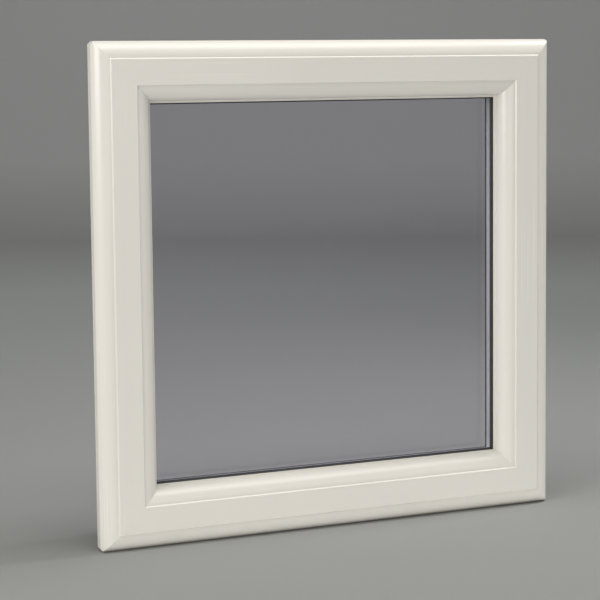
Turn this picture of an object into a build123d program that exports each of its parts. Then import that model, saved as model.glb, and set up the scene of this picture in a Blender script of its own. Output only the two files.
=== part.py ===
"""Square door vision panel: a glazed front frame and a back clamp frame, in mm.

The panel is centred on X and Z. The front faces -Y. The plane y = 0 is the door's front face.
A section is drawn in (s, y): s runs inwards from the outer edge of the front frame.
"""

import os
from math import hypot

from build123d import *

# Overall sizes
OVERALL = 475.0
LEAF_THICKNESS = 40.0
SEAL_THICKNESS = 1.5
WALL = 2.8

# Front moulding, from its outer edge inwards
FRONT_DEPTH = 21.0
OUTER_SIDE = 9.5
OUTER_ROUND = 15.6
STEP_HEIGHT = 1.2
STEP_RUN = 1.0
PLATEAU = 24.0
INNER_ROUND = 14.0
INNER_DROP = 13.6
LIP_RUN = 2.0
LIP_DROP = 2.1
LIP_EDGE = 1.2
CORNER_TRIM = 3.0

# Leg of the front moulding, through the cut-out
LEG_THICKNESS = 3.0
LEG_LENGTH = 29.0
LEG_LEAD = 1.2

# Back moulding
BACK_INSET = 12.6
BACK_DEPTH = 12.0
BACK_SIDE = 3.0
BACK_ROUND = 8.0
BACK_PLATEAU = 13.0
SCREW_GROOVE = 8.0
SCREW_GROOVE_DEPTH = 1.8
BACK_INNER_ROUND = 7.0
BACK_INNER_DROP = 7.8
BACK_SIGHT = 4.7
BACK_LIP_RUN = 2.0
BACK_LIP_EDGE = 2.0
NOSE_CLEARANCE = 0.3

# Glazed unit
PANE = 4.0
CAVITY = 9.5
GLASS_BITE = 15.0
GLASS_CLEARANCE = 5.0
SPACER_SETBACK = 1.2
SPACER_WIDTH = 7.0
SPACER_CHAMFER = 1.6
BLOCK_LENGTH = 60.0
BLOCK_SPACING = 190.0

# Glazing strips: square to the glass in front, a wedge at the back
STRIP = 5.0
STRIP_BITE = 11.0
STRIP_LIP = 0.5
STRIP_EASE = 0.4
WEDGE = 3.6
WEDGE_BITE = 7.5
WEDGE_LIP = 2.0
WEDGE_EDGE = 0.4
FOOT_WIDTH = 2.4
FOOT_DEPTH = 1.8
FOOT_INSET = 4.0

# Seals against the door
SEAL_WIDTH = 10.0
SEAL_EDGE = 4.0

# Positions across the section
SHOULDER_S = OUTER_ROUND
PLATEAU_S = SHOULDER_S + STEP_RUN
PLATEAU_END_S = PLATEAU_S + PLATEAU
ROUND_S = PLATEAU_END_S + STEP_RUN
LIP_S = ROUND_S + INNER_ROUND
FACE_WIDTH = LIP_S + LIP_RUN
GLASS_S = FACE_WIDTH - GLASS_BITE
LEG_INNER_S = GLASS_S - GLASS_CLEARANCE
LEG_S = LEG_INNER_S - LEG_THICKNESS
NOSE_S = LEG_INNER_S + NOSE_CLEARANCE
SIGHT_S = FACE_WIDTH - SPACER_SETBACK
SPACER_S = SIGHT_S - SPACER_WIDTH
BACK_LIP_S = FACE_WIDTH - BACK_SIGHT
STRIP_S = FACE_WIDTH - STRIP_BITE
WEDGE_S = BACK_LIP_S - WEDGE_BITE

# Levels through the door
FLANGE_Y = -SEAL_THICKNESS
PLATEAU_Y = FLANGE_Y - FRONT_DEPTH
SHOULDER_Y = PLATEAU_Y + STEP_HEIGHT
LIP_Y = SHOULDER_Y + INNER_DROP
LAND_Y = LIP_Y + LIP_DROP
NOSE_Y = LAND_Y + LIP_EDGE
LEG_END_Y = FLANGE_Y + LEG_LENGTH
GLASS_Y = NOSE_Y + STRIP
CAVITY_Y = GLASS_Y + PANE
CAVITY_END_Y = CAVITY_Y + CAVITY
GLASS_END_Y = CAVITY_END_Y + PANE
BACK_NOSE_Y = GLASS_END_Y + WEDGE
BACK_FLANGE_Y = LEAF_THICKNESS + SEAL_THICKNESS
BACK_PLATEAU_Y = BACK_FLANGE_Y + BACK_DEPTH
BACK_SHOULDER_Y = BACK_PLATEAU_Y - STEP_HEIGHT

HALF = OVERALL / 2
SIDES = ("bottom", "left", "top", "right")


def quarter_round(flat_end, low_end):
    """Arc that leaves flat_end parallel to the face and comes down to low_end."""
    ds = low_end[0] - flat_end[0]
    dy = low_end[1] - flat_end[1]
    radius = (ds * ds + dy * dy) / (2 * abs(dy))
    centre = (flat_end[0], flat_end[1] + radius * (1 if dy > 0 else -1))
    mid_s = (flat_end[0] + low_end[0]) / 2 - centre[0]
    mid_y = (flat_end[1] + low_end[1]) / 2 - centre[1]
    scale = radius / hypot(mid_s, mid_y)
    middle = (centre[0] + mid_s * scale, centre[1] + mid_y * scale)
    return ThreePointArc(flat_end, middle, low_end)


def outline(points, rounds=None):
    """Closed face through the points; rounds maps an edge's first index to its flat end's index."""
    rounds = rounds or {}
    edges = []
    for i, point in enumerate(points):
        j = (i + 1) % len(points)
        if i in rounds:
            low = j if rounds[i] == i else i
            edges.append(quarter_round(points[rounds[i]], points[low]))
        else:
            edges.append(Line(point, points[j]))
    return make_face(edges)


def rectangle(s0, y0, s1, y1):
    """Face between two corners of a section."""
    return outline([(s0, y0), (s1, y0), (s1, y1), (s0, y1)])


def bar(section, length=OVERALL):
    """Bottom member: the section stands across X and is drawn out both ways."""
    plane = Plane(origin=(0, 0, -HALF), x_dir=(0, 0, 1), z_dir=(-1, 0, 0))
    return extrude(plane * section, amount=length / 2, both=True)


def mitred(section):
    """Bottom member with both ends cut at 45 degrees towards the centre and its tips trimmed."""
    edge = HALF - CORNER_TRIM
    tip = HALF - CORNER_TRIM / 2
    wedge = make_face(
        Polyline((-tip, -tip), (-edge, -HALF), (edge, -HALF), (tip, -tip), (0, 0), close=True)
    )
    depth = 2 * (BACK_PLATEAU_Y - PLATEAU_Y)
    return bar(section) & extrude(Plane.XZ * wedge, amount=depth, both=True)


def four_sides(member):
    """The member at the bottom, left, top and right."""
    return {side: Rot(0, 90 * turn, 0) * member for turn, side in enumerate(SIDES)}


def strip_groove(strip_s, nose_y, inwards):
    """Groove in a moulding's nose for the foot of a glazing strip."""
    s0 = strip_s + FOOT_INSET
    y0, y1 = sorted((nose_y, nose_y + inwards * FOOT_DEPTH))
    return rectangle(s0, y0, s0 + FOOT_WIDTH, y1)


def front_section():
    """Front moulding: two quarter rounds, a raised flat, a lip and the leg, over three chambers."""
    skin = outline(
        [
            (0, FLANGE_Y),
            (0, FLANGE_Y - OUTER_SIDE),
            (SHOULDER_S, SHOULDER_Y),
            (PLATEAU_S, PLATEAU_Y),
            (PLATEAU_END_S, PLATEAU_Y),
            (ROUND_S, SHOULDER_Y),
            (LIP_S, LIP_Y),
            (LIP_S, LAND_Y),
            (FACE_WIDTH, LAND_Y),
            (FACE_WIDTH, NOSE_Y),
            (LEG_INNER_S, NOSE_Y),
            (LEG_INNER_S, LEG_END_Y - LEG_LEAD),
            (LEG_INNER_S - LEG_LEAD, LEG_END_Y),
            (LEG_S, LEG_END_Y),
            (LEG_S, FLANGE_Y),
        ],
        {1: 2, 5: 5},
    )
    floor_y = FLANGE_Y - WALL
    nose_floor_y = NOSE_Y - FOOT_DEPTH - WALL
    ceiling_y = SHOULDER_Y + WALL
    outer_chamber = outline(
        [
            (WALL, floor_y),
            (WALL, FLANGE_Y - OUTER_SIDE),
            (SHOULDER_S, ceiling_y),
            (SHOULDER_S, floor_y),
        ],
        {1: 2},
    )
    flat_chamber = rectangle(SHOULDER_S + WALL, PLATEAU_Y + WALL, LEG_INNER_S - WALL, floor_y)
    nose_chamber = outline(
        [
            (LEG_INNER_S, nose_floor_y),
            (LEG_INNER_S, ceiling_y),
            (ROUND_S, ceiling_y),
            (LIP_S - WALL, nose_floor_y),
        ],
        {2: 2},
    )
    groove = strip_groove(STRIP_S, NOSE_Y, -1)
    return skin - outer_chamber - flat_chamber - nose_chamber - groove


def back_section():
    """Back moulding: a grooved flat for the screws, a quarter round and a splayed reveal."""
    flat_s = BACK_INSET + BACK_ROUND
    flat_end_s = flat_s + BACK_PLATEAU
    reveal_s = flat_end_s + BACK_INNER_ROUND
    reveal_y = BACK_SHOULDER_Y - BACK_INNER_DROP
    groove_s = flat_s + (BACK_PLATEAU - SCREW_GROOVE) / 2
    groove_floor_y = BACK_PLATEAU_Y - SCREW_GROOVE_DEPTH
    lip_s = BACK_LIP_S - BACK_LIP_RUN
    lip_y = BACK_NOSE_Y + BACK_LIP_EDGE + BACK_LIP_RUN
    skin = outline(
        [
            (BACK_INSET, BACK_FLANGE_Y),
            (NOSE_S, BACK_FLANGE_Y),
            (NOSE_S, BACK_NOSE_Y + LEG_LEAD),
            (NOSE_S + LEG_LEAD, BACK_NOSE_Y),
            (BACK_LIP_S, BACK_NOSE_Y),
            (BACK_LIP_S, BACK_NOSE_Y + BACK_LIP_EDGE),
            (lip_s, lip_y),
            (reveal_s, reveal_y),
            (flat_end_s, BACK_SHOULDER_Y),
            (flat_end_s - STEP_RUN, BACK_PLATEAU_Y),
            (flat_s + STEP_RUN, BACK_PLATEAU_Y),
            (flat_s, BACK_SHOULDER_Y),
            (BACK_INSET, BACK_FLANGE_Y + BACK_SIDE),
        ],
        {7: 8, 11: 11},
    )
    screw_groove = rectangle(groove_s, groove_floor_y, groove_s + SCREW_GROOVE, BACK_PLATEAU_Y)
    flange_chamber = rectangle(flat_s, BACK_FLANGE_Y + WALL, flat_end_s, groove_floor_y - WALL)
    rise = (reveal_y - lip_y) / (lip_s - reveal_s)
    slant_wall = WALL * hypot(1, rise) / rise
    chamber_s = NOSE_S + WALL
    reach = lip_s - slant_wall - chamber_s
    reveal_chamber = outline(
        [
            (chamber_s, BACK_NOSE_Y + FOOT_DEPTH + WALL),
            (chamber_s + reach, BACK_NOSE_Y + FOOT_DEPTH + WALL),
            (chamber_s, lip_y + reach * rise),
        ]
    )
    groove = strip_groove(WEDGE_S, BACK_NOSE_Y, 1)
    return skin - screw_groove - flange_chamber - reveal_chamber - groove


def front_strip_section():
    """Front glazing strip, from the lip to the glass, with its foot in the groove."""
    tip_s = FACE_WIDTH + STRIP_LIP
    body = outline(
        [
            (STRIP_S, NOSE_Y),
            (tip_s - STRIP_EASE, NOSE_Y),
            (tip_s, NOSE_Y + STRIP_EASE),
            (tip_s, GLASS_Y),
            (STRIP_S, GLASS_Y),
        ]
    )
    return body + strip_groove(STRIP_S, NOSE_Y, -1)


def back_strip_section():
    """Back glazing strip: a wedge that runs out along the glass, with its foot in the groove."""
    tip_s = BACK_LIP_S + WEDGE_LIP
    body = outline(
        [
            (WEDGE_S, GLASS_END_Y),
            (tip_s, GLASS_END_Y),
            (tip_s, GLASS_END_Y + WEDGE_EDGE),
            (BACK_LIP_S, BACK_NOSE_Y),
            (WEDGE_S, BACK_NOSE_Y),
        ]
    )
    return body + strip_groove(WEDGE_S, BACK_NOSE_Y, 1)


def spacer_section():
    """Spacer bar between the panes, with its two outer corners chamfered."""
    return outline(
        [
            (SIGHT_S, CAVITY_Y),
            (SIGHT_S, CAVITY_END_Y),
            (SPACER_S + SPACER_CHAMFER, CAVITY_END_Y),
            (SPACER_S, CAVITY_END_Y - SPACER_CHAMFER),
            (SPACER_S, CAVITY_Y + SPACER_CHAMFER),
            (SPACER_S + SPACER_CHAMFER, CAVITY_Y),
        ]
    )


def corner_keys():
    """Blocks that join the spacer bars at the four corners."""
    long_bar = bar(spacer_section(), OVERALL - 2 * SPACER_S)
    key = long_bar & Rot(0, 90, 0) * long_bar
    return Compound([(Rot(0, 90 * turn, 0) * key).solid() for turn in range(4)])


def square_ring(outer_s, width, y0, y1):
    """One-piece square loop of a given width."""
    size = OVERALL - 2 * outer_s
    hole = size - 2 * width
    return Pos(0, (y0 + y1) / 2, 0) * (Box(size, y1 - y0, size) - Box(hole, y1 - y0, hole))


def pane(y0):
    """One glass pane with its front at y0."""
    size = OVERALL - 2 * GLASS_S
    return Pos(0, y0 + PANE / 2, 0) * Box(size, PANE, size)


def setting_blocks():
    """Two packers on the leg of the bottom rail, under the glass."""
    block = Box(BLOCK_LENGTH, GLASS_END_Y - GLASS_Y, GLASS_CLEARANCE)
    y = (GLASS_Y + GLASS_END_Y) / 2
    z = -HALF + LEG_INNER_S + GLASS_CLEARANCE / 2
    return Compound([(Pos(sign * BLOCK_SPACING / 2, y, z) * block).solid() for sign in (-1, 1)])


def build():
    """All pieces by node name."""
    nodes = {}

    mouldings = {"front": mitred(front_section()), "back": mitred(back_section())}
    for frame, member in mouldings.items():
        for side, piece in four_sides(member).items():
            kind = "rail" if side in ("top", "bottom") else "stile"
            nodes[f"{frame}_{side}_{kind}"] = piece

    strips = {"front": mitred(front_strip_section()), "back": mitred(back_strip_section())}
    for frame, member in strips.items():
        for side, piece in four_sides(member).items():
            nodes[f"{frame}_gasket_{side}"] = piece

    spacer = bar(spacer_section(), OVERALL - 2 * SIGHT_S)
    for side, piece in four_sides(spacer).items():
        nodes[f"spacer_{side}"] = piece
    nodes["spacer_corner_keys"] = corner_keys()

    nodes["edge_sealant"] = square_ring(GLASS_S, SPACER_S - GLASS_S, CAVITY_Y, CAVITY_END_Y)
    nodes["front_pane"] = pane(GLASS_Y)
    nodes["back_pane"] = pane(CAVITY_END_Y)
    nodes["setting_blocks"] = setting_blocks()

    nodes["front_door_seal"] = square_ring(SEAL_EDGE, SEAL_WIDTH, FLANGE_Y, 0)
    back_seal_s = BACK_INSET + SEAL_EDGE
    nodes["back_door_seal"] = square_ring(back_seal_s, SEAL_WIDTH, LEAF_THICKNESS, BACK_FLANGE_Y)
    return nodes


os.makedirs("parts", exist_ok=True)
for node_name, shape in build().items():
    shape.label = node_name
    export_step(shape, f"parts/{node_name}.step")
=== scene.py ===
"""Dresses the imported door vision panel: mouldings, glazing strips, spacers, screws, glass and stage.

X runs to the right as seen from the front, Y from the front to the back, Z up, all in metres.
A section is drawn in millimetres in (s, y): s runs inwards from the panel's outer edge.
"""

from math import ceil, cos, pi, radians, sin, tan

import bmesh
import bpy
from mathutils import Matrix, Vector


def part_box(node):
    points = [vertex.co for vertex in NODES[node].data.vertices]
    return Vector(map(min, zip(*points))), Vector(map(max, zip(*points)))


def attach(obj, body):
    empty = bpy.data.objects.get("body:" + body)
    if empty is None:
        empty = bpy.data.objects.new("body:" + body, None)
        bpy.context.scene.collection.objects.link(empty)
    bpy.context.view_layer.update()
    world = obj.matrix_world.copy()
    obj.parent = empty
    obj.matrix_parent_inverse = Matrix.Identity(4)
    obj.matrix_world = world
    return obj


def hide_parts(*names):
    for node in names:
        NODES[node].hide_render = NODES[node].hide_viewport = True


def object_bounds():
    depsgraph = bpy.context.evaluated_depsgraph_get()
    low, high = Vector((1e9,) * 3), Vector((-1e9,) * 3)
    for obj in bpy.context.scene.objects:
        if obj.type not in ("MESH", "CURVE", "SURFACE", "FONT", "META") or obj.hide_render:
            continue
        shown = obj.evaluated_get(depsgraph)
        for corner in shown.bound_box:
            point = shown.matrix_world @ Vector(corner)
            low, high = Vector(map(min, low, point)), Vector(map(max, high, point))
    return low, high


bl_info = {
    "name": "Door Vision Panel",
    "version": (1, 0, 0),
    "blender": (4, 5, 0),
    "location": "3D View > Sidebar > Vision Panel",
    "description": "Builds the mouldings, glazing and finishes of a square door vision panel",
    "category": "Add Mesh",
}

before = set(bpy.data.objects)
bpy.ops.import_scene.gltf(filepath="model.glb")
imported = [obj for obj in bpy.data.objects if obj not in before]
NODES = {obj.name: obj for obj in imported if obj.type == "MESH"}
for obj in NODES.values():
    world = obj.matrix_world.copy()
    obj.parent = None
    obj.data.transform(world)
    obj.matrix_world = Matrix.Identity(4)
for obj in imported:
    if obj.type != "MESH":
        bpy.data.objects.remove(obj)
CAD_BOX = [list(corner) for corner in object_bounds()]
HALF = CAD_BOX[1][0]
MM = 0.001
SIDES = ("bottom", "left", "top", "right")
BODY = "root"

# Smooth shading stops at edges sharper than this
SHARP_EDGE = radians(17)
# Points along each of a moulding's quarter rounds
ROUND_STEPS = 18
# Largest turn between two points of a rounded edge
EDGE_TURN = radians(13)
# Distance from a rounded edge at which a flat is flat again, in mm
EDGE_GUARD = 0.25
# Clearance that keeps strips and spacers off the glass faces, in mm
GLASS_GAP = 0.02
# Distance below which two places in a section are the same, in mm
SAME_PLACE = 1e-4
# Half the width and the depth of the line at a glazing strip's corner joint
STRIP_WELD_WIDTH, STRIP_WELD_DEPTH = 0.0002, 0.0001
# Depths between which the floor's tone lightens as painted light, where the wall stands, and height of
# its bend
SWEEP_NEAR, SWEEP_FAR, SWEEP_WALL, SWEEP_BEND = 0.1, 1.8, 3.0, 0.2
# Turn of floor and wall to face the camera, in degrees, and how far the tone drops again at the wall, as
# painted shade in the crease at its foot
SWEEP_TURN, WALL_FOOT_PAINTED_SHADE = 22.0, 0.9
# Reach of the floor to all sides and of its flat part to the front, height of the wall, steps of the bend
FLOOR_REACH, FLOOR_FRONT, WALL_HEIGHT, BEND_STEPS = 60.0, 1.0, 4.0, 12
# Reach of the floor that shows its own light, to the front and to each side, and width of its fade
LIT_FRONT, LIT_SIDE, LIT_FADE = 1.0, 2.2, 1.5
# Depths, square to the panel, of the painted shade under it in the floor's bounce: start and end of each
# fade to pale bounce
PAINTED_SHADE_FRONT = (-0.03, -0.005)
PAINTED_SHADE_BACK = (0.06, 0.12)
# Colour of the even light from all around
ROOM_TONE = (1.0, 0.99, 0.97, 1.0)
# Soft lights: size, place, aim and spread in degrees
PANEL_MIDDLE = (0.0, 0.0, 0.0)
LIGHTS = {
    "top_light": ((2.0, 1.2), (0.0, -0.45, 1.9), PANEL_MIDDLE, 180),
    "left_light": ((1.2, 0.7), (-2.1, -0.86, 0.5), PANEL_MIDDLE, 100),
    "right_light": ((0.5, 0.9), (1.3, -0.05, 1.3), PANEL_MIDDLE, 90),
    "front_light": ((1.6, 1.0), (-0.3, -3.0, 0.35), PANEL_MIDDLE, 180),
    "wall_light": ((3.0, 0.5), (-0.67, 1.56, 1.7), (0.01, 3.23, 0.7), 180),
}
# Camera: place, turn to the right, tilt down and roll in degrees, and shift of the frame
CAMERA_PLACE = (-0.6488, -1.5423, 0.2131)
CAMERA_TURN = (21.897, 5.181, -0.587)
CAMERA_SHIFT = -0.13


def cad_kind(side):
    """Word that the part uses for the moulding on this side."""
    return "rail" if side in ("top", "bottom") else "stile"


# Settings


def colour_setting(name, description, default):
    """Setting for a colour."""
    return bpy.props.FloatVectorProperty(
        name=name,
        description=description,
        default=default,
        subtype="COLOR",
        min=0.0,
        max=1.0,
    )


def length_setting(name, description, default):
    """Setting for a length in metres."""
    return bpy.props.FloatProperty(
        name=name,
        description=description,
        default=default,
        min=0.0,
        unit="LENGTH",
    )


def power_setting(name, description, default):
    """Setting for a light's power."""
    return bpy.props.FloatProperty(
        name=name,
        description=description,
        default=default,
        unit="POWER",
    )


class VisionMouldings(bpy.types.PropertyGroup):
    """Sizes of the two mitred frames"""

    corner_trim: length_setting(
        "Corner Trim", "How much of each outer tip is trimmed off after welding", 0.003
    )
    weld_width: length_setting(
        "Weld Width", "Half the width of the line left by a corner weld", 0.00035
    )
    weld_depth: length_setting("Weld Depth", "How deep the line left by a corner weld is", 0.00006)


class VisionGlazing(bpy.types.PropertyGroup):
    """Sizes of the spacer bars and the screws"""

    slot_count: bpy.props.IntProperty(
        name="Slots per Bar",
        description="Breathing slots along one spacer bar",
        default=70,
        min=1,
    )
    slot_pitch: length_setting("Slot Pitch", "Distance between the middles of two slots", 0.005)
    slot_length: length_setting("Slot Length", "Length of one slot along the bar", 0.0022)
    slot_depth: length_setting("Slot Depth", "Depth of one slot", 0.0005)
    screw_count: bpy.props.IntProperty(
        name="Screws per Side",
        description="Screws in the groove of each back moulding",
        default=3,
        min=1,
    )
    screw_spacing: length_setting("Screw Spacing", "Distance between two screws of one side", 0.150)


class VisionFinishes(bpy.types.PropertyGroup):
    """Colours of the panel's materials"""

    ivory: colour_setting("Ivory PVC", "Colour of the two frames", (0.702, 0.673, 0.607))
    rubber: colour_setting("Rubber", "Colour of the glazing strips", (0.022, 0.022, 0.023))
    aluminium: colour_setting("Spacer Aluminium", "Colour of the spacer bars", (0.74, 0.74, 0.745))
    screw_steel: colour_setting("Screw Steel", "Colour of the zinc-plated screws", (0.66, 0.66, 0.65))
    glass: colour_setting("Glass", "Tint of the glass", (0.935, 0.926, 0.962))
    foam: colour_setting("Foam Seal", "Colour of the seals against the door", (0.055, 0.055, 0.058))
    key_plastic: colour_setting("Corner Keys", "Colour of the spacer's corner keys", (0.34, 0.34, 0.35))
    sealant: colour_setting(
        "Edge Sealant", "Colour of the sealant around the glass", (0.018, 0.018, 0.019)
    )
    packer: colour_setting(
        "Packers", "Colour of the setting blocks under the glass", (0.10, 0.22, 0.42)
    )


class VisionStage(bpy.types.PropertyGroup):
    """Floor, light and camera"""

    floor: colour_setting("Floor", "Colour of the floor around the panel", (0.270, 0.272, 0.260))
    # Lighter than the near floor: painted light that the lamps don't give the floor well behind the panel
    far_floor_painted_light: colour_setting(
        "Far Floor", "Colour of the floor well behind the panel", (0.348, 0.358, 0.350)
    )
    backdrop: colour_setting("Backdrop", "Colour of the wall behind the panel", (0.362, 0.367, 0.360))
    bounce: colour_setting(
        "Bounce", "Colour with which the floor lights the panel from below", (0.86, 0.87, 0.88)
    )
    surround: colour_setting(
        "Surround", "Tone that is seen past the reach of the lamps", (0.262, 0.264, 0.262)
    )
    top_light: power_setting("Top Light", "Power of the soft light overhead", 26.8)
    left_light: power_setting("Left Light", "Power of the soft light at the left", 7.6)
    right_light: power_setting("Right Light", "Power of the soft light at the right", 3.8)
    front_light: power_setting("Front Light", "Power of the soft light behind the camera", 8.0)
    wall_light: power_setting("Wall Light", "Power of the soft light on the backdrop", 7.4)
    room_light: bpy.props.FloatProperty(
        name="Room Light",
        description="Strength of the even light from all around",
        default=0.25,
        min=0.0,
    )
    lens: bpy.props.FloatProperty(
        name="Lens",
        description="Focal length of the camera in millimetres, on a 36 mm sensor",
        default=103.36,
    )


class VisionPanelSettings(bpy.types.PropertyGroup):
    """Everything that a user would change"""

    mouldings: bpy.props.PointerProperty(type=VisionMouldings)
    glazing: bpy.props.PointerProperty(type=VisionGlazing)
    finishes: bpy.props.PointerProperty(type=VisionFinishes)
    stage: bpy.props.PointerProperty(type=VisionStage)


# Node trees


class Wire:
    """A node's output; arithmetic on it adds Math nodes."""

    def __init__(self, board, socket):
        self.board = board
        self.socket = socket

    def math(self, operation, *others):
        """Result of one Math node that takes this value first."""
        return self.board.add("ShaderNodeMath", {"operation": operation}, (self, *others))

    def __add__(self, other):
        return self.math("ADD", other)

    def __radd__(self, other):
        return self.math("ADD", other)

    def __sub__(self, other):
        return self.math("SUBTRACT", other)

    def __rsub__(self, other):
        return self.board.add("ShaderNodeMath", {"operation": "SUBTRACT"}, (other, self))

    def __mul__(self, other):
        return self.math("MULTIPLY", other)

    def __rmul__(self, other):
        return self.math("MULTIPLY", other)

    def __truediv__(self, other):
        return self.math("DIVIDE", other)

    def __lt__(self, other):
        return self.math("LESS_THAN", other)

    def __gt__(self, other):
        return self.math("GREATER_THAN", other)

    def parts(self):
        """The three numbers of a vector."""
        split = self.board.add("ShaderNodeSeparateXYZ", None, [self])
        return [Wire(self.board, socket) for socket in split.socket.node.outputs]


class Board:
    """One node tree, to which nodes are added."""

    def __init__(self, tree):
        self.tree = tree

    def add(self, kind, settings=None, inputs=(), out=0):
        """Adds a node with its settings, then its inputs' values or links, and gives one output."""
        node = self.tree.nodes.new(kind)
        for name, value in (settings or {}).items():
            setattr(node, name, value)
        pairs = inputs.items() if isinstance(inputs, dict) else enumerate(inputs)
        for key, value in pairs:
            socket = node.inputs[key]
            for one in value if isinstance(value, list) else [value]:
                if isinstance(one, Wire):
                    self.tree.links.new(one.socket, socket)
                else:
                    socket.default_value = one
        return Wire(self, node.outputs[out]) if len(node.outputs) else None

    def vector(self, x, y, z):
        """Vector from three numbers."""
        return self.add("ShaderNodeCombineXYZ", None, [x, y, z])


class ShapeBoard(Board):
    """A Geometry Nodes tree with named inputs."""

    def __init__(self, name, inputs):
        super().__init__(bpy.data.node_groups.new(name, "GeometryNodeTree"))
        face = self.tree.interface
        face.new_socket(name="Geometry", in_out="OUTPUT", socket_type="NodeSocketGeometry")
        face.new_socket(name="Geometry", in_out="INPUT", socket_type="NodeSocketGeometry")
        for label, kind in inputs.items():
            face.new_socket(name=label, in_out="INPUT", socket_type=f"NodeSocket{kind}")
        self.entry = self.tree.nodes.new("NodeGroupInput")

    def given(self, label):
        """One of the tree's inputs."""
        return Wire(self, self.entry.outputs[label])

    def named(self, name, data_type="FLOAT"):
        """Attribute of the geometry."""
        settings = {"data_type": data_type}
        return self.add("GeometryNodeInputNamedAttribute", settings, {"Name": name})

    def store(self, geometry, name, value, data_type="FLOAT"):
        """Geometry with an attribute stored on its points."""
        return self.add(
            "GeometryNodeStoreNamedAttribute",
            {"data_type": data_type, "domain": "POINT"},
            {"Geometry": geometry, "Name": name, "Value": value},
        )

    def turned(self, geometry, quarter_turns):
        """Geometry turned about Y by so many quarter turns."""
        turn = self.vector(0.0, quarter_turns * (pi / 2), 0.0)
        return self.add("GeometryNodeTransform", None, {"Geometry": geometry, "Rotation": turn})

    def swept(self, stations):
        """The given outline, swept along a line of stations whose numbers its points keep."""
        rail = self.add("GeometryNodeCurvePrimitiveLine", None, {"End": (1.0, 0.0, 0.0)})
        rail = self.add("GeometryNodeResampleCurve", None, {"Curve": rail, "Count": stations})
        rail = self.store(rail, "station", self.add("GeometryNodeInputIndex"))
        loop = self.add("GeometryNodeMeshToCurve", None, {"Mesh": self.given("Geometry")})
        inputs = {"Curve": rail, "Profile Curve": loop, "Fill Caps": True}
        bar = self.add("GeometryNodeCurveToMesh", None, inputs)
        return self.add("GeometryNodeFlipFaces", None, {"Mesh": bar})

    def finish_bar(self, bar):
        """Ends the tree with a bar that keeps its grain, turned to its side."""
        bar = self.store(bar, "grain", self.add("GeometryNodeInputPosition"), "FLOAT_VECTOR")
        self.finish(self.turned(bar, self.given("Quarter Turns")))

    def finish(self, geometry):
        """Ends the tree with plain geometry in its material."""
        plain = self.add("GeometryNodeRealizeInstances", None, {"Geometry": geometry})
        inputs = {"Geometry": plain, "Material": self.given("Finish")}
        painted = self.add("GeometryNodeSetMaterial", None, inputs)
        self.add("NodeGroupOutput", None, {"Geometry": painted})

    def make(self, name, mesh, values):
        """Plain object that the tree makes from a mesh and its inputs' values."""
        carrier = bpy.data.objects.new(f"{name}_carrier", mesh)
        bpy.context.scene.collection.objects.link(carrier)
        modifier = carrier.modifiers.new("Shape", "NODES")
        modifier.node_group = self.tree
        for item in self.tree.interface.items_tree:
            if item.in_out == "INPUT" and item.name in values:
                modifier[item.identifier] = values[item.name]
        depsgraph = bpy.context.evaluated_depsgraph_get()
        made = bpy.data.meshes.new_from_object(
            carrier.evaluated_get(depsgraph),
            preserve_all_data_layers=True,
            depsgraph=depsgraph,
        )
        carrier.modifiers.remove(modifier)
        bpy.data.objects.remove(carrier)
        if not made.polygons:
            raise RuntimeError(f"{name}: the shape came out empty")
        made.materials.clear()
        made.materials.append(values["Finish"])
        made.polygons.foreach_set("material_index", [0] * len(made.polygons))
        return finished_object(name, made, values.get("Corner Trim", 0.0) / 2)


def split_bent_caps(work, crease):
    """Splits each end face between its two points that lie crease metres in from the outer edge."""
    across = work.verts.layers.float_vector["outline"]
    for face in [face for face in work.faces if len(face.verts) > 4]:
        ends = [vert for vert in face.verts if abs(vert[across].x - crease) < SAME_PLACE * MM]
        if len(ends) == 2:
            bmesh.utils.face_split(face, *ends)


def finished_object(name, mesh, crease=0.0):
    """Object at the origin from a closed mesh, with outward faces and smooth rounds."""
    work = bmesh.new()
    work.from_mesh(mesh)
    if crease:
        split_bent_caps(work, crease)
    bmesh.ops.recalc_face_normals(work, faces=work.faces)
    work.to_mesh(mesh)
    work.free()
    mesh.shade_smooth()
    mesh.set_sharp_from_angle(angle=SHARP_EDGE)
    mesh.name = name
    piece = bpy.data.objects.new(name, mesh)
    bpy.context.scene.collection.objects.link(piece)
    return piece


def place(piece, slot, *nodes):
    """Puts a piece on the panel in place of the part's plain nodes."""
    if nodes:
        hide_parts(*nodes)
    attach(piece, BODY)


# Sections

# Across the front moulding, from the panel's outer edge, in mm
STEP_RUN = 1.0
OUTER_ROUND, FLAT_WIDTH, INNER_ROUND, LIP_RUN = 15.6, 24.0, 14.0, 2.0
FLAT_START = OUTER_ROUND + STEP_RUN
FLAT_END = FLAT_START + FLAT_WIDTH
INNER_START = FLAT_END + STEP_RUN
INNER_END = INNER_START + INNER_ROUND
FACE_END = INNER_END + LIP_RUN
LEG_OUTER, LEG_INNER, LEG_LEAD = 34.6, 37.6, 1.2
FRONT_GROOVE = (50.6, 53.0)
# Depths of the front moulding, from the door's front face, in mm
FLANGE_Y, SIDE_Y, SHOULDER_Y, FLAT_Y = -1.5, -11.0, -21.3, -22.5
LIP_Y, LAND_Y, NOSE_Y, FRONT_GROOVE_Y, LEG_TIP_Y = -7.7, -5.6, -4.4, -6.2, 27.5
# Across the back moulding, in mm
BACK_EDGE, BACK_SHOULDER, BACK_FLAT = 12.6, 20.6, 21.6
SCREW_GROOVE = (23.1, 31.1)
BACK_FLAT_END, BACK_INNER, REVEAL_FOOT = 32.6, 33.6, 40.6
BACK_LEG, BACK_LEAD, REVEAL_TOP, BACK_LIP = 37.9, 1.2, 50.9, 52.9
BACK_GROOVE = (49.4, 51.8)
# Depths of the back moulding, in mm
BACK_FLANGE_Y, BACK_SIDE_Y, BACK_SHOULDER_Y, BACK_FLAT_Y = 41.5, 44.5, 52.3, 53.5
SCREW_SEAT, BACK_NOSE_Y, BACK_GROOVE_Y, LIP_BACK_Y, REVEAL_Y = 51.7, 21.7, 23.5, 23.7, 25.7
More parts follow.
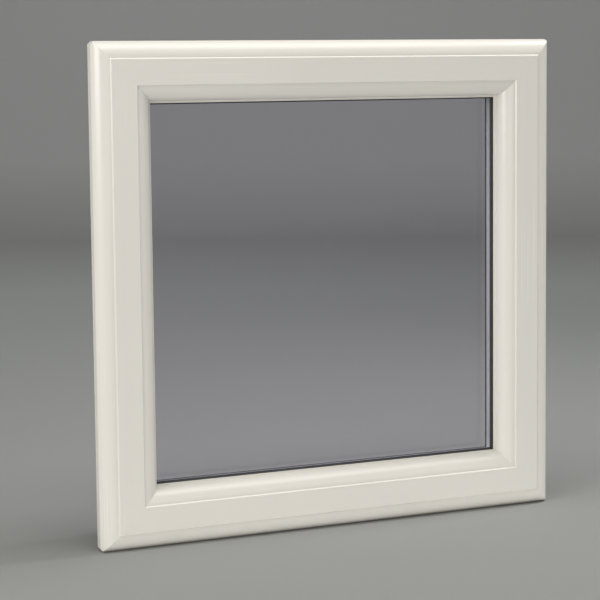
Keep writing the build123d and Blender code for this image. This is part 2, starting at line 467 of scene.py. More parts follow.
# Glass faces from front to back, in mm
PANE_Y, CAVITY_Y, CAVITY_END_Y, PANE_END_Y = 0.6, 4.6, 14.1, 18.1
# Glazing strips: their outer edges, bodies and thin lips on the glass, in mm
STRIP_EDGE, STRIP_BODY, STRIP_TAPER, STRIP_LIP = 46.6, 58.0, 0.1, 58.9
WEDGE_EDGE, WEDGE_TIP, WEDGE_LIP = 45.4, 54.8, 56.3
# Thickness of each lip at its tip and at its root, in mm
STRIP_LIP_TIP, STRIP_LIP_ROOT = 1.0, 2.2
WEDGE_LIP_TIP, WEDGE_LIP_ROOT = 0.4, 0.9
# Spacer bars: face, back, chamfer and lane of the breathing slots, in mm
SPACER_FACE, SPACER_BACK, SPACER_CHAMFER = 56.4, 49.4, 1.6
LANE_LOW, LANE_HIGH = 9.0, 9.7


def quarter_round(flat_end, low_end):
    """Points inside the arc that leaves flat_end along the face and comes down to low_end."""
    ds, dy = low_end[0] - flat_end[0], low_end[1] - flat_end[1]
    radius = (ds * ds + dy * dy) / (2 * abs(dy))
    sweep = 2 * abs(Vector((abs(ds), 0.0)).angle(Vector((abs(ds), abs(dy)))))
    sign_s, sign_y = (1 if ds > 0 else -1), (1 if dy > 0 else -1)
    points = []
    for step in range(1, ROUND_STEPS):
        angle = sweep * step / ROUND_STEPS
        s = flat_end[0] + sign_s * radius * sin(angle)
        y = flat_end[1] + sign_y * radius * (1 - cos(angle))
        points.append((s, y, 0.0))
    return points


def eased(corners):
    """Outline with each corner (s, y, radius) rounded, running anticlockwise."""
    outline = []
    for i, (s, y, radius) in enumerate(corners):
        here = Vector((s, y))
        if radius == 0.0:
            outline.append(here)
            continue
        back = Vector(corners[i - 1][:2]) - here
        on = Vector(corners[(i + 1) % len(corners)][:2]) - here
        between = back.angle(on)
        run = radius / tan(between / 2)
        guard = run + EDGE_GUARD
        centre = here + (back.normalized() + on.normalized()).normalized() * (radius / sin(between / 2))
        first, last = here + back.normalized() * run - centre, here + on.normalized() * run - centre
        turn = first.angle_signed(last)
        steps = max(2, ceil(abs(turn) / EDGE_TURN))
        if back.length > 3 * guard:
            outline.append(here + back.normalized() * guard)
        for step in range(steps + 1):
            angle = -turn * step / steps
            outline.append(centre + Matrix.Rotation(angle, 2) @ first)
        if on.length > 3 * guard:
            outline.append(here + on.normalized() * guard)
    area = sum(a.cross(b) for a, b in zip(outline, outline[1:] + outline[:1]))
    return outline if area > 0 else outline[::-1]


def crossed_at(outline, s):
    """The outline with a point wherever it crosses this distance from the outer edge."""
    points = []
    for here, there in zip(outline, outline[1:] + outline[:1]):
        points.append(here)
        if (here.x - s) * (there.x - s) < 0:
            points.append(here.lerp(there, (s - here.x) / (there.x - here.x)))
    return points


def outline_mesh(name, outline, lanes=()):
    """Closed loop of edges in metres; its points know their place, the way in and their lane."""
    mesh = bpy.data.meshes.new(name)
    count = len(outline)
    points = [(p.x * MM, p.y * MM, 0.0) for p in outline]
    mesh.from_pydata(points, [(i, (i + 1) % count) for i in range(count)], [])
    inward = []
    for i, here in enumerate(outline):
        along = (here - outline[i - 1]).normalized() + (outline[(i + 1) % count] - here).normalized()
        along.normalize()
        inward.append((-along.y, along.x, 0.0))
    for label, values in (("outline", points), ("inward", inward)):
        layer = mesh.attributes.new(label, "FLOAT_VECTOR", "POINT")
        layer.data.foreach_set("vector", [number for value in values for number in value])
    lane = mesh.attributes.new("lane", "FLOAT", "POINT")
    lane.data.foreach_set("value", [1.0 if i in lanes else 0.0 for i in range(count)])
    return mesh


def grooved(groove, floor_y, mouth_y, radius=0.0):
    """Corners of a groove across a section, or of a foot that fills it."""
    start, end = groove
    return [(start, mouth_y, 0.0), (start, floor_y, radius), (end, floor_y, radius), (end, mouth_y, 0.0)]


def front_outline():
    """Front moulding: outer round, step, raised flat, step, inner round, lip and leg."""
    outer = quarter_round((OUTER_ROUND, SHOULDER_Y), (0.0, SIDE_Y))
    inner = quarter_round((INNER_START, SHOULDER_Y), (INNER_END, LIP_Y))
    return eased(
        [(0.0, FLANGE_Y, 0.2), (0.0, SIDE_Y, 0.5)]
        + outer[::-1]
        + [(OUTER_ROUND, SHOULDER_Y, 0.25), (FLAT_START, FLAT_Y, 0.4)]
        + [(FLAT_END, FLAT_Y, 0.4), (INNER_START, SHOULDER_Y, 0.25)]
        + inner
        + [(INNER_END, LIP_Y, 0.0), (INNER_END, LAND_Y, 0.3)]
        + [(FACE_END, LAND_Y, 0.3), (FACE_END, NOSE_Y, 0.15)]
        + grooved(FRONT_GROOVE, FRONT_GROOVE_Y, NOSE_Y)[::-1]
        + [(LEG_INNER, NOSE_Y, 0.2), (LEG_INNER, LEG_TIP_Y - LEG_LEAD, 0.0)]
        + [(LEG_INNER - LEG_LEAD, LEG_TIP_Y, 0.2), (LEG_OUTER, LEG_TIP_Y, 0.2)]
        + [(LEG_OUTER, FLANGE_Y, 0.2)]
    )


def back_outline():
    """Back moulding: nose, lip, splayed reveal, round, flat with the screw groove, and flange."""
    inner = quarter_round((BACK_INNER, BACK_SHOULDER_Y), (REVEAL_FOOT, BACK_SIDE_Y))
    outer = quarter_round((BACK_SHOULDER, BACK_SHOULDER_Y), (BACK_EDGE, BACK_SIDE_Y))
    screw_start, screw_end = SCREW_GROOVE
    return eased(
        [(BACK_EDGE, BACK_FLANGE_Y, 0.2), (BACK_LEG, BACK_FLANGE_Y, 0.2)]
        + [(BACK_LEG, BACK_NOSE_Y + BACK_LEAD, 0.0), (BACK_LEG + BACK_LEAD, BACK_NOSE_Y, 0.2)]
        + grooved(BACK_GROOVE, BACK_GROOVE_Y, BACK_NOSE_Y)
        + [(BACK_LIP, BACK_NOSE_Y, 0.15), (BACK_LIP, LIP_BACK_Y, 0.4)]
        + [(REVEAL_TOP, REVEAL_Y, 0.4), (REVEAL_FOOT, BACK_SIDE_Y, 0.4)]
        + inner[::-1]
        + [(BACK_INNER, BACK_SHOULDER_Y, 0.25), (BACK_FLAT_END, BACK_FLAT_Y, 0.4)]
        + [(screw_end, BACK_FLAT_Y, 0.3), (screw_end, SCREW_SEAT, 0.2)]
        + [(screw_start, SCREW_SEAT, 0.2), (screw_start, BACK_FLAT_Y, 0.3)]
        + [(BACK_FLAT, BACK_FLAT_Y, 0.4), (BACK_SHOULDER, BACK_SHOULDER_Y, 0.25)]
        + outer
        + [(BACK_EDGE, BACK_SIDE_Y, 0.4)]
    )


def front_strip_outline():
    """Front glazing strip: foot in the moulding's groove, square body and a thin lip on the glass."""
    seat_y = PANE_Y - GLASS_GAP
    return eased(
        [(STRIP_EDGE, NOSE_Y, 0.2)]
        + grooved(FRONT_GROOVE, FRONT_GROOVE_Y, NOSE_Y, 0.3)
        + [(STRIP_BODY, NOSE_Y, 0.4), (STRIP_BODY + STRIP_TAPER, PANE_Y - STRIP_LIP_ROOT, 0.5)]
        + [(STRIP_LIP, PANE_Y - STRIP_LIP_TIP, 0.2), (STRIP_LIP, seat_y, 0.1)]
        + [(STRIP_EDGE, seat_y, 0.3)]
    )


def back_strip_outline():
    """Back glazing strip: foot in the moulding's groove, wedge and a thin lip on the glass."""
    seat_y = PANE_END_Y + GLASS_GAP
    return eased(
        [(WEDGE_EDGE, seat_y, 0.3), (WEDGE_LIP, seat_y, 0.1)]
        + [(WEDGE_LIP, PANE_END_Y + WEDGE_LIP_TIP, 0.1), (WEDGE_TIP, PANE_END_Y + WEDGE_LIP_ROOT, 0.3)]
        + [(BACK_LIP, BACK_NOSE_Y, 0.15)]
        + grooved(BACK_GROOVE, BACK_GROOVE_Y, BACK_NOSE_Y, 0.3)[::-1]
        + [(WEDGE_EDGE, BACK_NOSE_Y, 0.2)]
    )


def spacer_outline():
    """Spacer bar: flat face towards the view with a lane for the slots, chamfered back corners."""
    low, high = CAVITY_Y + GLASS_GAP, CAVITY_END_Y - GLASS_GAP
    inset = SPACER_BACK + SPACER_CHAMFER
    face = [(SPACER_FACE, low, 0.4), (SPACER_FACE, LANE_LOW, 0.0)]
    face += [(SPACER_FACE, LANE_HIGH, 0.0), (SPACER_FACE, high, 0.4)]
    back = [(inset, high, 0.3), (SPACER_BACK, CAVITY_END_Y - SPACER_CHAMFER, 0.3)]
    back += [(SPACER_BACK, CAVITY_Y + SPACER_CHAMFER, 0.3), (inset, low, 0.3)]
    return eased(face + back)


# Shapes that follow a rule


def mitred_bar_tree():
    """Sweeps an outline along one side, mitres and trims its ends and sinks the weld lines."""
    board = ShapeBoard(
        "Mitred bar",
        {
            "Half Size": "Float",
            "Corner Trim": "Float",
            "Weld Width": "Float",
            "Weld Depth": "Float",
            "Quarter Turns": "Int",
            "Finish": "Material",
        },
    )
    half = board.given("Half Size")
    swept = board.swept(6)

    # Stations 0 and 5 lie on the mitres, 1 and 4 beside the weld lines, 2 and 3 a little further in
    station = board.named("station")
    at_end = (station < 0.5) + (station > 4.5)
    further = (station > 1.5) * (station < 3.5)
    hand = (station > 2.5) * 2.0 - 1.0
    s, y, _ = board.named("outline", "FLOAT_VECTOR").parts()
    in_s, in_y, _ = board.named("inward", "FLOAT_VECTOR").parts()
    sunk = at_end * board.given("Weld Depth")
    s, y = s + in_s * sunk, y + in_y * sunk
    tip = half - board.given("Corner Trim") + s
    reach = (half - s).math("MINIMUM", tip)
    reach = reach - (1.0 - at_end + further) * board.given("Weld Width")
    where = board.vector(hand * reach, y, s - half)
    bar = board.add("GeometryNodeSetPosition", None, {"Geometry": swept, "Position": where})

    board.finish_bar(bar)
    return board


def slotted_bar_tree():
    """Sweeps an outline along one side with square ends and sinks a row of slots in its lane."""
    board = ShapeBoard(
        "Slotted bar",
        {
            "Half Size": "Float",
            "Length": "Float",
            "Slots": "Int",
            "Pitch": "Float",
            "Slot Length": "Float",
            "Slot Depth": "Float",
            "Quarter Turns": "Int",
            "Finish": "Material",
        },
    )
    slots, pitch = board.given("Slots"), board.given("Pitch")
    slot, length = board.given("Slot Length"), board.given("Length")
    swept = board.swept(slots * 2 + 2)

    # Stations 1 and 2 are the ends of the first slot, 3 and 4 those of the next
    station = board.named("station")
    number = ((station - 1.0) / 2.0).math("FLOOR")
    far_end = station - 1.0 - number * 2.0
    inner = (number - (slots - 1.0) / 2.0) * pitch + (far_end - 0.5) * slot
    first, last = station < 0.5, station > slots * 2 + 0.5
    x = (last - first) * length / 2.0 + (1.0 - first - last) * inner
    s, y, _ = board.named("outline", "FLOAT_VECTOR").parts()
    where = board.vector(x, y, s - board.given("Half Size"))
    bar = board.add("GeometryNodeSetPosition", None, {"Geometry": swept, "Position": where})

    share = station.math("MODULO", 2.0)
    chosen = (board.named("lane") > 0.75) * (share > 1.0)
    bar = board.add(
        "GeometryNodeExtrudeMesh",
        {"mode": "FACES"},
        {
            "Mesh": bar,
            "Selection": chosen,
            "Offset Scale": board.given("Slot Depth") * -1.0,
            "Individual": True,
        },
    )
    board.finish_bar(bar)
    return board


def screw_rows_tree():
    """Sets a row of screws on each of the four sides, their recesses turned at random."""
    board = ShapeBoard(
        "Screw rows",
        {
            "Half Size": "Float",
            "Inset": "Float",
            "Seat": "Float",
            "Count": "Int",
            "Spacing": "Float",
            "Finish": "Material",
        },
    )
    count, spacing = board.given("Count"), board.given("Spacing")
    start = board.vector(
        (1.0 - count) * spacing / 2.0,
        board.given("Seat"),
        board.given("Inset") - board.given("Half Size"),
    )
    row = board.add(
        "GeometryNodeMeshLine",
        {"mode": "OFFSET"},
        {"Count": count, "Start Location": start, "Offset": board.vector(spacing, 0.0, 0.0)},
    )
    angle = board.add(
        "FunctionNodeRandomValue",
        {"data_type": "FLOAT"},
        {2: 0.0, 3: pi, "Seed": 11},
        out=1,
    )
    screws = board.add(
        "GeometryNodeInstanceOnPoints",
        None,
        {
            "Points": row,
            "Instance": board.given("Geometry"),
            "Rotation": board.vector(0.0, angle, 0.0),
        },
    )
    rows = [board.turned(screws, turns) for turns in range(len(SIDES))]
    board.finish(board.add("GeometryNodeJoinGeometry", None, {"Geometry": rows}))
    return board


def screw_mesh():
    """Pan-head screw with a cross recess, its seat at the origin and its head towards +Y."""
    around = 28
    rings = [(3.3, 0.0), (3.4, 0.35), (3.2, 0.85), (2.7, 1.2), (2.1, 1.38)]
    arm, slot, sink, taper = 1.75, 0.36, 0.75, 0.72
    head_y = rings[-1][1]
    work = bmesh.new()

    def loop(points, y):
        return [work.verts.new((x * MM, y * MM, z * MM)) for x, z in points]

    def wall(lower, upper):
        count = len(lower)
        for i in range(count):
            j = (i + 1) % count
            work.faces.new((lower[i], lower[j], upper[j], upper[i]))

    circles = []
    for radius, y in rings:
        angles = [2 * pi * i / around for i in range(around)]
        circles.append(loop([(radius * cos(a), radius * sin(a)) for a in angles], y))
    for lower, upper in zip(circles, circles[1:]):
        wall(lower, upper)
    work.faces.new(circles[0])

    quadrant = [(arm, -slot), (arm, slot), (slot, slot)]
    cross = []
    for turn in range(4):
        c, s = round(cos(turn * pi / 2)), round(sin(turn * pi / 2))
        cross += [(x * c - z * s, x * s + z * c) for x, z in quadrant]
    rim = loop(cross, head_y)
    foot = loop([(x * taper, z * taper) for x, z in cross], head_y - sink)
    wall(rim, foot)
    work.faces.new(foot)
    edges = []
    for ring in (circles[-1], rim):
        for i, vert in enumerate(ring):
            edges.append(work.edges.get((vert, ring[(i + 1) % len(ring)])))
    bmesh.ops.triangle_fill(work, use_beauty=True, use_dissolve=False, edges=edges)
    bmesh.ops.recalc_face_normals(work, faces=work.faces)
    mesh = bpy.data.meshes.new("screw")
    work.to_mesh(mesh)
    work.free()
    return mesh


# Finishes


class Finish(Board):
    """A material's node tree."""

    def __init__(self, name):
        self.material = bpy.data.materials.new(name)
        self.material.use_nodes = True
        self.material.node_tree.nodes.clear()
        super().__init__(self.material.node_tree)

    def object_place(self):
        """Place on the object."""
        return self.add("ShaderNodeTexCoord", None, (), "Object")

    def grain_place(self, along, across):
        """Place on a bar, stretched along its length."""
        grain = self.add("ShaderNodeAttribute", {"attribute_name": "grain"}, (), "Vector")
        stretch = (along, across, across)
        return self.add("ShaderNodeVectorMath", {"operation": "MULTIPLY"}, [grain, stretch])

    def noise(self, where, scale, detail=2.0):
        """Cloudy number around one half."""
        inputs = {"Vector": where, "Scale": scale, "Detail": detail}
        return self.add("ShaderNodeTexNoise", None, inputs, "Fac")

    def between(self, share, colour_a, colour_b):
        """Colour between two, each a node's output or three numbers."""
        ends = [end if isinstance(end, Wire) else (*end, 1.0) for end in (colour_a, colour_b)]
        return self.add("ShaderNodeMix", {"data_type": "RGBA"}, {0: share, 6: ends[0], 7: ends[1]}, 2)

    def bump(self, height, depth, strength=1.0):
        """Normal of a surface with fine relief."""
        inputs = {"Strength": strength, "Distance": depth, "Height": height}
        return self.add("ShaderNodeBump", None, inputs, "Normal")

    def surface(self, **sockets):
        """Principled surface; a socket's name has _ in place of a space."""
        inputs = {name.replace("_", " "): value for name, value in sockets.items()}
        return self.add("ShaderNodeBsdfPrincipled", None, inputs)

    def done(self, surface):
        """The material with this surface."""
        self.add("ShaderNodeOutputMaterial", None, {"Surface": surface})
        return self.material


def shade(colour, amount):
    """A colour made lighter or darker, within range."""
    return tuple(min(1.0, channel * amount) for channel in colour)


def ivory_pvc(colour):
    """Satin extruded PVC: faint cloudiness, drawn lines along the length and a fine skin."""
    finish = Finish("Ivory PVC")
    where = finish.object_place()
    cloud = finish.noise(where, 7.0, 3.0)
    drawn = finish.noise(finish.grain_place(2.2, 520.0), 1.0, 3.0)
    skin = finish.noise(where, 1900.0, 2.0)
    share = cloud * 0.7 + drawn * 0.3
    return finish.done(
        finish.surface(
            Base_Color=finish.between(share, shade(colour, 0.965), shade(colour, 1.035)),
            Roughness=0.16 + drawn * 0.10 + cloud * 0.08,
            Normal=finish.bump(drawn * 0.6 + skin * 0.4, 0.00003, 0.5),
        )
    )


def black_rubber(colour):
    """Extruded rubber: matt, with drawn lines and grey bloom in places."""
    finish = Finish("Black rubber")
    where = finish.object_place()
    bloom = finish.noise(where, 40.0, 4.0)
    drawn = finish.noise(finish.grain_place(6.0, 1500.0), 1.0, 2.0)
    return finish.done(
        finish.surface(
            Base_Color=finish.between(bloom, shade(colour, 0.7), shade(colour, 1.7)),
            Roughness=0.48 + bloom * 0.2 + drawn * 0.1,
            Normal=finish.bump(drawn, 0.00006, 0.6),
        )
    )


def mill_aluminium(colour):
    """Rolled aluminium strip with fine lines along the bar."""
    finish = Finish("Spacer aluminium")
    cloud = finish.noise(finish.object_place(), 60.0, 3.0)
    rolled = finish.noise(finish.grain_place(5.0, 2600.0), 1.0, 3.0)
    share = rolled * 0.7 + cloud * 0.3
    return finish.done(
        finish.surface(
            Base_Color=finish.between(share, shade(colour, 0.86), shade(colour, 1.12)),
            Metallic=0.55,
            Roughness=0.34 + rolled * 0.16,
            Normal=finish.bump(rolled, 0.00004, 0.5),
        )
    )


def zinc_steel(colour):
    """Zinc-plated steel with a slightly mottled sheen."""
    finish = Finish("Zinc-plated steel")
    where = finish.object_place()
    mottle = finish.noise(where, 900.0, 4.0)
    return finish.done(
        finish.surface(
            Base_Color=finish.between(mottle, shade(colour, 0.85), shade(colour, 1.1)),
            Metallic=1.0,
            Roughness=0.22 + mottle * 0.2,
            Normal=finish.bump(mottle, 0.00003, 0.4),
        )
    )


def float_glass(colour):
    """Clear float glass, a little wavy, with a thin uneven film of dust; lamps shine through it."""
    finish = Finish("Clear glass")
    where = finish.object_place()
    film = finish.noise(where, 5.0, 4.0)
    wave = finish.noise(where, 3.0, 1.0)
    glass = finish.surface(
        Base_Color=finish.between(film, shade(colour, 0.994), shade(colour, 1.004)),
        Roughness=0.0,
        IOR=1.5,
        Transmission_Weight=1.0,
        Normal=finish.bump(wave, 0.0004, 0.1),
    )
    through = finish.add("ShaderNodeBsdfTransparent", None, {"Color": (*shade(colour, 0.95), 1.0)})
    lamp_ray = finish.add("ShaderNodeLightPath", None, (), "Is Shadow Ray")
    return finish.done(finish.add("ShaderNodeMixShader", None, [lamp_ray, glass, through]))


def cell_foam(colour):
    """Closed-cell foam with small round cells."""
    finish = Finish("Closed-cell foam")
    where = finish.object_place()
    inputs = {"Vector": where, "Scale": 900.0}
    cells = finish.add("ShaderNodeTexVoronoi", None, inputs, "Distance")
    cloud = finish.noise(where, 30.0, 3.0)
    return finish.done(
        finish.surface(
            Base_Color=finish.between(cells, shade(colour, 0.6), shade(colour, 1.5)),
            Roughness=0.82 + cloud * 0.12,
            Normal=finish.bump(cells, 0.0004, 0.8),
        )
    )


def moulded_plastic(name, colour, roughness):
    """Moulded plastic with a fine grain."""
    finish = Finish(name)
    where = finish.object_place()
    cloud = finish.noise(where, 25.0, 3.0)
    grain = finish.noise(where, 1400.0, 2.0)
    return finish.done(
        finish.surface(
            Base_Color=finish.between(cloud, shade(colour, 0.88), shade(colour, 1.12)),
            Roughness=roughness + grain * 0.15,
            Normal=finish.bump(grain, 0.00006, 0.6),
        )
    )


# Operators


def finish_named(name):
    """A material that was made before, or None."""
    return bpy.data.materials.get(name)


def settings_of(context):
    """The panel's settings in this scene."""
    return context.scene.vision_panel


def build_frame(frame_name, outline, trim, settings):
    """Four mitred mouldings of one frame."""
    tree = mitred_bar_tree()
    values = {
        "Half Size": HALF,
        "Corner Trim": trim,
        "Weld Width": settings.mouldings.weld_width,
        "Weld Depth": settings.mouldings.weld_depth,
        "Finish": finish_named("Ivory PVC") or ivory_pvc(settings.finishes.ivory),
    }
    for turns, side in enumerate(SIDES):
        name = f"{frame_name}_{side}_moulding"
        piece = tree.make(name, outline_mesh(name, outline), values | {"Quarter Turns": turns})
        place(piece, "ivory_pvc", f"{frame_name}_{side}_{cad_kind(side)}")


class VISION_OT_front_mouldings(bpy.types.Operator):
    """Build the four mouldings of the front frame"""

    bl_idname = "vision_panel.front_mouldings"
    bl_label = "Front Mouldings"

    def execute(self, context):
        settings = settings_of(context)
        trim = settings.mouldings.corner_trim
        build_frame("front", crossed_at(front_outline(), trim / 2 / MM), trim, settings)
        return {"FINISHED"}


class VISION_OT_back_mouldings(bpy.types.Operator):
    """Build the four mouldings of the back clamp frame"""

    bl_idname = "vision_panel.back_mouldings"
    bl_label = "Back Mouldings"

    def execute(self, context):
        build_frame("back", back_outline(), 0.0, settings_of(context))
        return {"FINISHED"}


class VISION_OT_glazing_strips(bpy.types.Operator):
    """Build the rubber strips on both sides of the glass"""

    bl_idname = "vision_panel.glazing_strips"
    bl_label = "Glazing Strips"

    def execute(self, context):
        settings = settings_of(context)
        tree = mitred_bar_tree()
        values = {
            "Half Size": HALF,
            "Corner Trim": 0.0,
            "Weld Width": STRIP_WELD_WIDTH,
            "Weld Depth": STRIP_WELD_DEPTH,
            "Finish": black_rubber(settings.finishes.rubber),
        }
        outlines = {"front": front_strip_outline(), "back": back_strip_outline()}
        for frame_name, outline in outlines.items():
            for turns, side in enumerate(SIDES):
                name = f"{frame_name}_{side}_strip"
                mesh = outline_mesh(name, outline)
                piece = tree.make(name, mesh, values | {"Quarter Turns": turns})
                place(piece, "black_rubber", f"{frame_name}_gasket_{side}")
        return {"FINISHED"}


class VISION_OT_spacer_bars(bpy.types.Operator):
    """Build the slotted spacer bars between the panes"""

    bl_idname = "vision_panel.spacer_bars"
    bl_label = "Spacer Bars"

    def execute(self, context):
        settings = settings_of(context)
        sizes = settings.glazing
        low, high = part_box("spacer_bottom")
        outline = spacer_outline()
        offsets = [min(abs(p.y - LANE_LOW), abs(p.y - LANE_HIGH)) for p in outline]
        lanes = [i for i, offset in enumerate(offsets) if offset < SAME_PLACE]
        values = {
            "Half Size": HALF,
            "Length": high.x - low.x,
            "Slots": sizes.slot_count,
            "Pitch": sizes.slot_pitch,
            "Slot Length": sizes.slot_length,
            "Slot Depth": sizes.slot_depth,
            "Finish": mill_aluminium(settings.finishes.aluminium),
        }
        tree = slotted_bar_tree()
        for turns, side in enumerate(SIDES):
            name = f"{side}_spacer_bar"
            mesh = outline_mesh(name, outline, lanes)
            piece = tree.make(name, mesh, values | {"Quarter Turns": turns})
            place(piece, "spacer_aluminium", f"spacer_{side}")
        return {"FINISHED"}


class VISION_OT_screws(bpy.types.Operator):
    """Drive the screws into the grooves of the back frame"""

    bl_idname = "vision_panel.screws"
    bl_label = "Screws"

    def execute(self, context):
        settings = settings_of(context)
        values = {
            "Half Size": HALF,
            "Inset": sum(SCREW_GROOVE) / 2 * MM,
            "Seat": SCREW_SEAT * MM,
            "Count": settings.glazing.screw_count,
            "Spacing": settings.glazing.screw_spacing,
            "Finish": zinc_steel(settings.finishes.screw_steel),
        }
        piece = screw_rows_tree().make("back_screws", screw_mesh(), values)
        place(piece, "spacer_aluminium")
        return {"FINISHED"}


class VISION_OT_glass_and_seals(bpy.types.Operator):
    """Finish the panes, keys, sealant, packers and seals that come from the part"""

    bl_idname = "vision_panel.glass_and_seals"
    bl_label = "Glass and Seals"

    def execute(self, context):
        colours = settings_of(context).finishes
        glass = float_glass(colours.glass)
        foam = cell_foam(colours.foam)
        finishes = {
            "front_pane": glass,
            "back_pane": glass,
            "front_door_seal": foam,
            "back_door_seal": foam,
            "spacer_corner_keys": moulded_plastic("Key plastic", colours.key_plastic, 0.45),
            "edge_sealant": moulded_plastic("Edge sealant", colours.sealant, 0.6),
            "setting_blocks": moulded_plastic("Packer plastic", colours.packer, 0.5),
        }
        for node, finish in finishes.items():
            mesh = NODES[node].data
            mesh.materials.clear()
            mesh.materials.append(finish)
        return {"FINISHED"}


class VISION_OT_stage(bpy.types.Operator):
    """Set the floor, the backdrop, the lights and the camera"""

    bl_idname = "vision_panel.stage"
    bl_label = "Stage"

    def execute(self, context):
        stage = settings_of(context).stage
        set_floor(stage)
        set_lights(stage)
        set_room(stage)
        set_camera(stage)
        context.scene.view_settings.view_transform = "Standard"
        return {"FINISHED"}


def looking_rays(board):
    """One for rays that look at the background: straight, by reflection or through glass."""
    path = board.add("ShaderNodeLightPath").socket.node.outputs
    rays = [Wire(board, path[f"Is {ray} Ray"]) for ray in ("Camera", "Glossy", "Transmission")]
    return rays[0].math("MAXIMUM", rays[1]).math("MAXIMUM", rays[2])


def share_between(value, start, end):
    """Zero up to start, one from end on."""
    return ((value - start) / (end - start)).math("MAXIMUM", 0.0).math("MINIMUM", 1.0)


def sweep_finish(stage):
    """Floor that turns into the backdrop, with painted light that lightens it towards the back and
    painted shade at the wall's foot; out of the lamps' reach it has an even tone.
    """
    finish = Finish("Floor and backdrop")
    where = finish.object_place()
    across, depth, height = where.parts()
    ground = CAD_BOX[0][2]
    cloud = finish.noise(where, 1.5, 3.0)
    # Painted light: the floor's tone lightens from the near floor to the far floor
    far = share_between(depth, SWEEP_NEAR, SWEEP_FAR)
    # Painted shade in the crease: the tone drops back towards the near floor's tone at the wall's foot
    far = far - share_between(depth, SWEEP_FAR, SWEEP_WALL) * WALL_FOOT_PAINTED_SHADE
    up = share_between(height, ground, ground + SWEEP_BEND)
    tone = finish.between(up, finish.between(far, stage.floor, stage.far_floor_painted_light), stage.backdrop)
    painted = finish.surface(
        Base_Color=tone,
        Roughness=0.75 + cloud * 0.1,
        Specular_IOR_Level=0.2,
    )
    outside = (depth * -1.0 - LIT_FRONT).math("MAXIMUM", across.math("ABSOLUTE") - LIT_SIDE)
    outside = share_between(outside, 0.0, LIT_FADE)
    even = finish.add("ShaderNodeEmission", None, {"Color": (*stage.surround, 1.0)})
    looks = looking_rays(finish)

    # Rays that light the panel meet a paler floor, painted light, with painted shade only under the panel
    turn = radians(SWEEP_TURN)
    facing = depth * cos(turn) - across * sin(turn)
    under = share_between(facing, *PAINTED_SHADE_FRONT) - share_between(facing, *PAINTED_SHADE_BACK)
    pale_tone = finish.between(under, stage.bounce, tone)
    pale = finish.surface(Base_Color=pale_tone, Roughness=0.9, Specular_IOR_Level=0.0)
    seen = finish.add("ShaderNodeMixShader", None, [outside, painted, even])
    return finish.done(finish.add("ShaderNodeMixShader", None, [looks, pale, seen]))


def set_floor(stage):
    """Floor under the panel, curving up into a wall behind it."""
    ground = CAD_BOX[0][2]
    bend = SWEEP_BEND
    line = [(-FLOOR_REACH, ground), (-FLOOR_FRONT, ground), (SWEEP_WALL - bend, ground)]
    for step in range(1, BEND_STEPS):
        angle = pi / 2 * step / BEND_STEPS
        line.append((SWEEP_WALL - bend + bend * sin(angle), ground + bend * (1 - cos(angle))))
    line += [(SWEEP_WALL, ground + bend), (SWEEP_WALL, ground + WALL_HEIGHT)]
    mesh = bpy.data.meshes.new("floor")
    verts = [(x, y, z) for y, z in line for x in (-FLOOR_REACH, FLOOR_REACH)]
    faces = [(2 * i, 2 * i + 1, 2 * i + 3, 2 * i + 2) for i in range(len(line) - 1)]
    mesh.from_pydata(verts, [], faces)
    mesh.shade_smooth()
    mesh.materials.append(sweep_finish(stage))
    floor = bpy.data.objects.new("floor", mesh)
    floor.rotation_euler.z = -radians(SWEEP_TURN)
    bpy.context.scene.collection.objects.link(floor)


def add_soft_light(name, power, size, place_at, aim, spread):
    """Soft light that looks at a point and isn't itself seen, also not through glass."""
    lamp = bpy.data.lights.new(name, "AREA")
    lamp.shape = "RECTANGLE"
    lamp.size, lamp.size_y = size
    lamp.energy = power
    lamp.spread = radians(spread)
    light = bpy.data.objects.new(name, lamp)
    bpy.context.scene.collection.objects.link(light)
    light.visible_camera = False
    light.visible_transmission = False
    light.location = place_at
    light.rotation_euler = (Vector(aim) - Vector(place_at)).to_track_quat("-Z", "Y").to_euler()


def set_lights(stage):
    """Soft light on the panel from four sides, and one light on the backdrop."""
    for name, setting in LIGHTS.items():
        add_soft_light(name, getattr(stage, name), *setting)


def set_room(stage):
    """Even light from all around; what looks past the stage sees an even tone."""
    world = bpy.data.worlds.new("Room")
    bpy.context.scene.world = world
    world.use_nodes = True
    world.node_tree.nodes.clear()
    board = Board(world.node_tree)
    light = board.add(
        "ShaderNodeBackground",
        None,
        {"Color": ROOM_TONE, "Strength": stage.room_light},
    )
    seen = board.add("ShaderNodeBackground", None, {"Color": (*stage.surround, 1.0)})
    mixed = board.add("ShaderNodeMixShader", None, [looking_rays(board), light, seen])
    board.add("ShaderNodeOutputWorld", None, {"Surface": mixed})


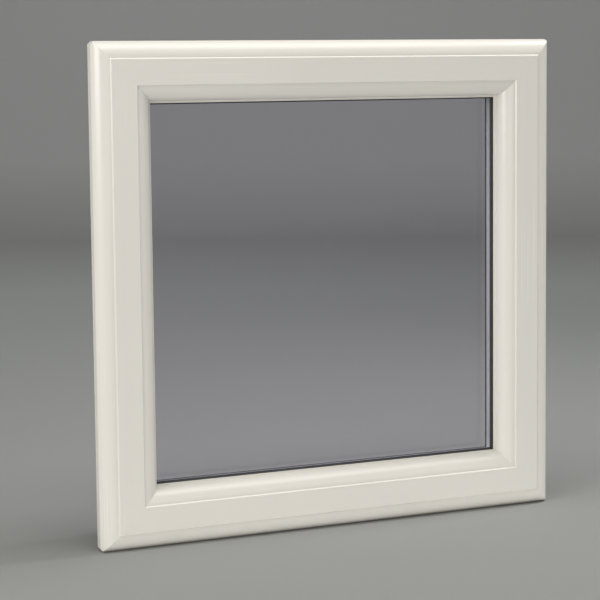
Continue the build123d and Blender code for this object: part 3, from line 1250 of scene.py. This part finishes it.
def set_camera(stage):
    """Camera at the front left, a little above the panel."""
    yaw, pitch, roll = (radians(angle) for angle in CAMERA_TURN)
    ahead = Vector((sin(yaw) * cos(pitch), cos(yaw) * cos(pitch), -sin(pitch)))
    level = Vector((cos(yaw), -sin(yaw), 0.0))
    above = level.cross(ahead)
    across = level * cos(roll) + above * sin(roll)
    up = above * cos(roll) - level * sin(roll)
    data = bpy.data.cameras.new("camera")
    data.lens = stage.lens
    data.sensor_width = 36.0
    data.shift_y = CAMERA_SHIFT
    data.clip_end = 100.0
    camera = bpy.data.objects.new("camera", data)
    bpy.context.scene.collection.objects.link(camera)
    turn = Matrix((across, up, -ahead)).transposed()
    camera.matrix_world = Matrix.Translation(CAMERA_PLACE) @ turn.to_4x4()
    bpy.context.scene.camera = camera


class VISION_PT_panel(bpy.types.Panel):
    """Settings and steps of the vision panel"""

    bl_idname = "VISION_PT_panel"
    bl_label = "Vision Panel"
    bl_space_type = "VIEW_3D"
    bl_region_type = "UI"
    bl_category = "Vision Panel"

    def draw(self, context):
        settings = settings_of(context)
        for group in (settings.mouldings, settings.glazing, settings.finishes, settings.stage):
            box = self.layout.box()
            for name in group.__annotations__:
                box.prop(group, name)
        for operator in OPERATORS:
            self.layout.operator(operator.bl_idname)


OPERATORS = (
    VISION_OT_front_mouldings,
    VISION_OT_back_mouldings,
    VISION_OT_glazing_strips,
    VISION_OT_spacer_bars,
    VISION_OT_screws,
    VISION_OT_glass_and_seals,
    VISION_OT_stage,
)
CLASSES = (
    VisionMouldings,
    VisionGlazing,
    VisionFinishes,
    VisionStage,
    VisionPanelSettings,
    *OPERATORS,
    VISION_PT_panel,
)


def register():
    """Adds the classes and the scene's settings."""
    for cls in CLASSES:
        bpy.utils.register_class(cls)
    bpy.types.Scene.vision_panel = bpy.props.PointerProperty(type=VisionPanelSettings)


def unregister():
    """Takes the settings and the classes away."""
    del bpy.types.Scene.vision_panel
    for cls in reversed(CLASSES):
        bpy.utils.unregister_class(cls)


def main():
    """Builds everything in order."""
    register()
    for operator in OPERATORS:
        group, step = operator.bl_idname.split(".")
        getattr(getattr(bpy.ops, group), step)()


if __name__ == "__main__":
    main()
